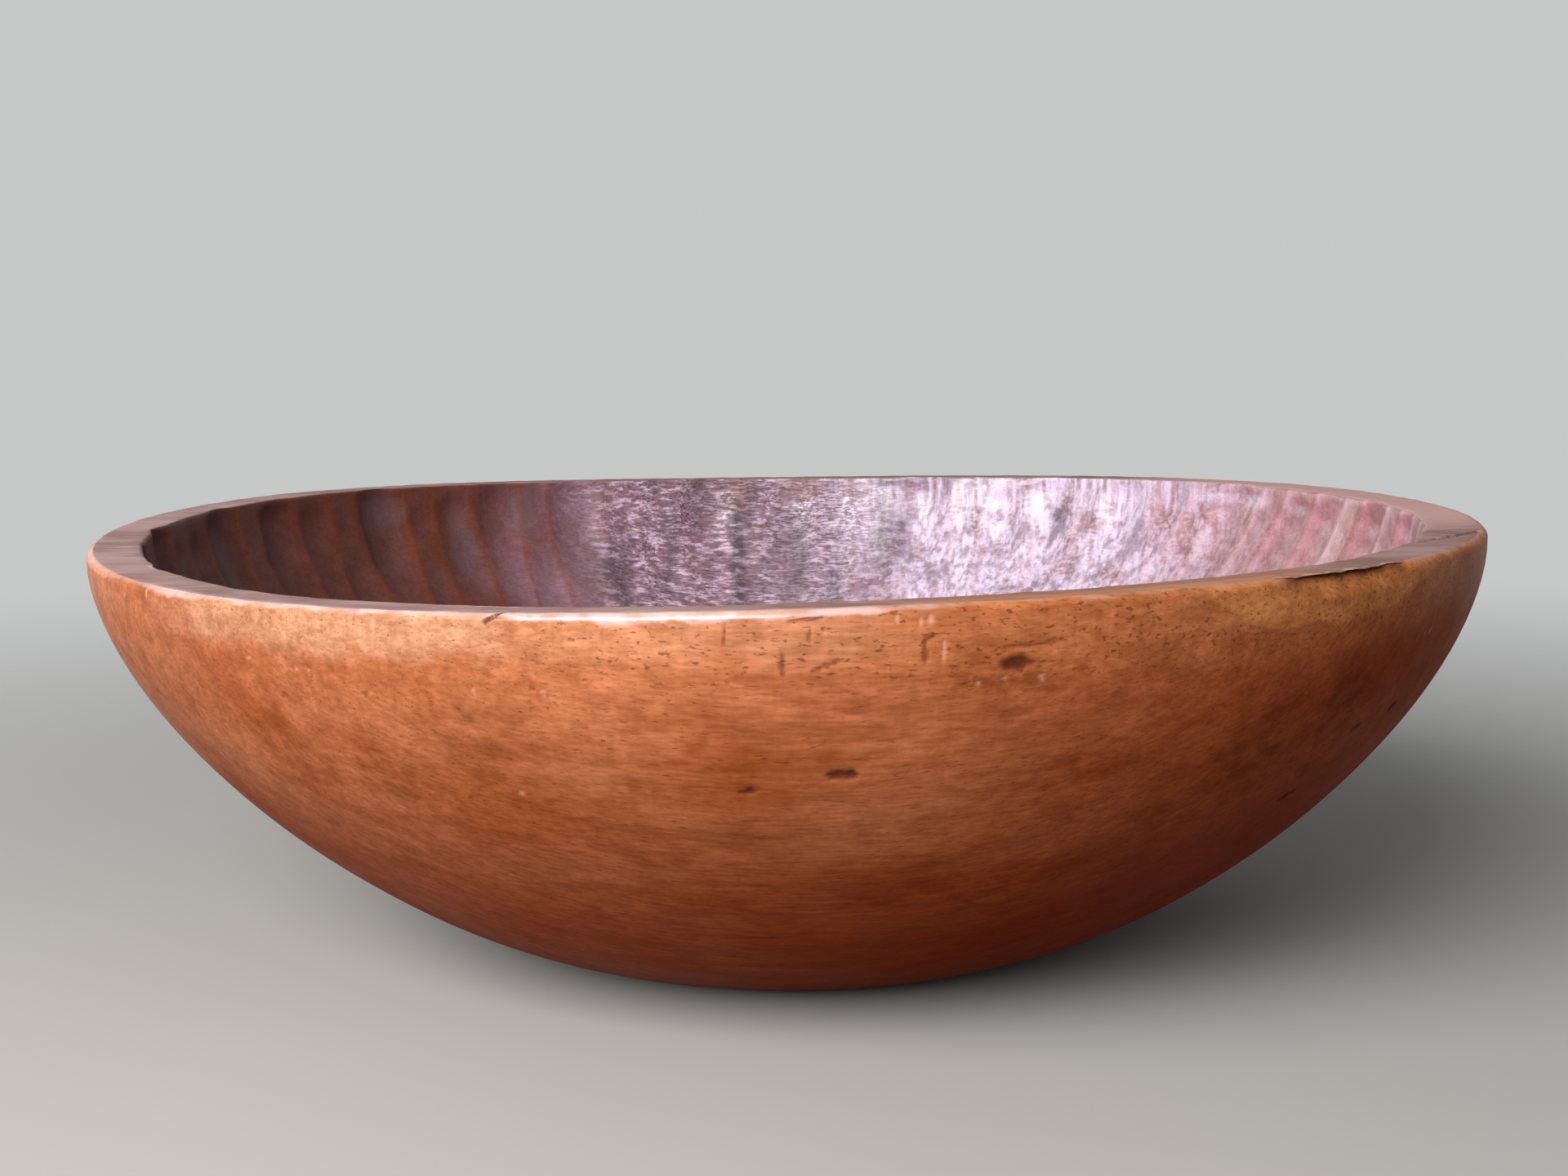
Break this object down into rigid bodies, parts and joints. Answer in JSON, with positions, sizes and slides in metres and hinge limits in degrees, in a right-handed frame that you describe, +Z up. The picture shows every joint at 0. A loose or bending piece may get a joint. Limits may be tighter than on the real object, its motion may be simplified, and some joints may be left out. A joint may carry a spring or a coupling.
{
  "type": "wooden salad bowl",
  "caption": "Wide hand-carved wooden bowl with a thick uneven rim, a gouge-fluted hollow and a flat foot, for tossing and serving salad.",
  "frame": {"origin": "middle of the flat foot, on the surface that the bowl stands on", "axes": "+Z up through the mouth, X along the grain of the wood, -Y the side that faces the camera in the picture"},
  "size_m": [0.4627, 0.4573, 0.1454],
  "materials": {
    "wood": "satin, oiled and worn, darker and redder inside the hollow"
  },
  "bodies": {
    "root": {"bowl": "wood"}
  },
  "joints": []
}
